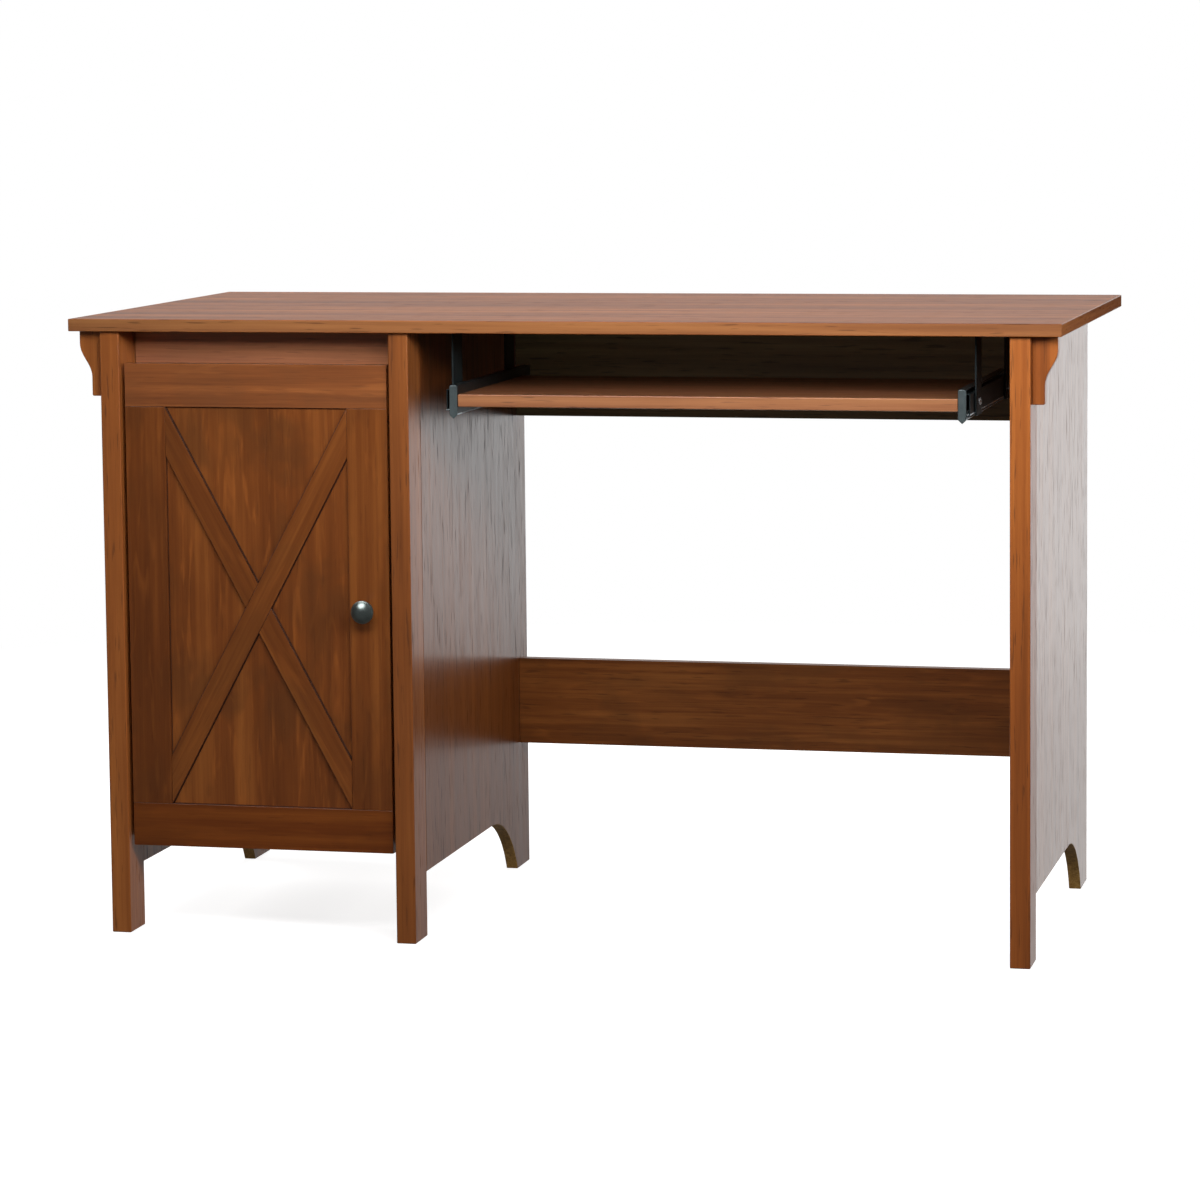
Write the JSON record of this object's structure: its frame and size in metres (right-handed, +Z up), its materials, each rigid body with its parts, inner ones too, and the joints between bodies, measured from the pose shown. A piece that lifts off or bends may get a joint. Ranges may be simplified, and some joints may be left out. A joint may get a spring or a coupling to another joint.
{
  "type": "computer desk with keyboard tray",
  "caption": "Desk with a framed cross-braced cupboard door on the left, a keyboard tray on slides over the knee space, and S-shaped corbels under an overhanging top.",
  "frame": {"origin": "on the floor, in the middle of the desk's bounding box, knob included", "axes": "+X to the user's right along the desk's length, +Y towards the back, +Z up"},
  "size_m": [1.2, 0.61, 0.75],
  "materials": {
    "walnut_laminate": "semi-gloss reddish brown wood-grain laminate on board",
    "hardboard": "matt printed brown hardboard",
    "dark_steel": "satin dark grey coating on pressed steel",
    "zinc_steel": "satin zinc plating",
    "pewter": "satin dark pewter, brushed",
    "bright_steel": "bright nickel plating"
  },
  "bodies": {
    "desk": {"cam_lock_modesty_panel_left": "zinc_steel", "cam_lock_modesty_panel_right": "zinc_steel", "cam_lock_stretcher_left": "zinc_steel", "cam_lock_stretcher_right": "zinc_steel", "corbel_left": "walnut_laminate", "corbel_right": "walnut_laminate", "cupboard_apron": "walnut_laminate", "cupboard_back": "hardboard", "cupboard_back_rail": "walnut_laminate", "cupboard_floor": "walnut_laminate", "cupboard_shelf": "walnut_laminate", "desk_rail_left": "dark_steel", "desk_rail_right": "dark_steel", "desktop": "walnut_laminate", "front_leg_left": "walnut_laminate", "front_leg_middle": "walnut_laminate", "front_leg_right": "walnut_laminate", "gable_left": "walnut_laminate", "gable_middle": "walnut_laminate", "gable_right": "walnut_laminate", "hanger_back_left": "dark_steel", "hanger_back_right": "dark_steel", "hanger_front_left": "dark_steel", "hanger_front_right": "dark_steel", "hanger_screw_back_left": "bright_steel", "hanger_screw_back_right": "bright_steel", "hanger_screw_front_left": "bright_steel", "hanger_screw_front_right": "bright_steel", "hinge_arm_lower": "zinc_steel", "hinge_arm_upper": "zinc_steel", "hinge_plate_lower": "zinc_steel", "hinge_plate_upper": "zinc_steel", "modesty_panel": "walnut_laminate", "shelf_pin_back_left": "zinc_steel", "shelf_pin_back_right": "zinc_steel", "shelf_pin_front_left": "zinc_steel", "shelf_pin_front_right": "zinc_steel", "stretcher": "walnut_laminate"},
    "door": {"door_brace_long": "walnut_laminate", "door_brace_lower": "walnut_laminate", "door_brace_upper": "walnut_laminate", "door_panel": "walnut_laminate", "door_rail_bottom": "walnut_laminate", "door_rail_top": "walnut_laminate", "door_stile_left": "walnut_laminate", "door_stile_right": "walnut_laminate", "hinge_cup_lower": "zinc_steel", "hinge_cup_upper": "zinc_steel", "hinge_pin_lower": "bright_steel", "hinge_pin_upper": "bright_steel", "knob": "pewter", "knob_screw": "bright_steel"},
    "tray": {"keyboard_tray": "walnut_laminate", "tray_rail_left": "dark_steel", "tray_rail_right": "dark_steel", "slide_end_cap_left": "zinc_steel", "slide_end_cap_right": "zinc_steel"},
    "ball_retainers": {"ball_retainer_left": "zinc_steel", "ball_retainer_right": "zinc_steel"}
  },
  "joints": [
    {"name": "door_hinge", "type": "hinge", "parent": "desk", "child": "door", "pos_m": [-0.5317, -0.276, 0.402], "axis": [0, 0, -1], "range_deg": [0, 95]},
    {"name": "tray_slide", "type": "slide", "parent": "desk", "child": "tray", "axis": [0, -1, 0], "range_m": [0, 0.25]},
    {"name": "retainer_slide", "type": "slide", "parent": "desk", "child": "ball_retainers", "axis": [0, -1, 0], "range_m": [0, 0.125]}
  ],
  "couplings": [
    {"joint": "retainer_slide", "follows": "tray_slide", "ratio": 0.5}
  ]
}
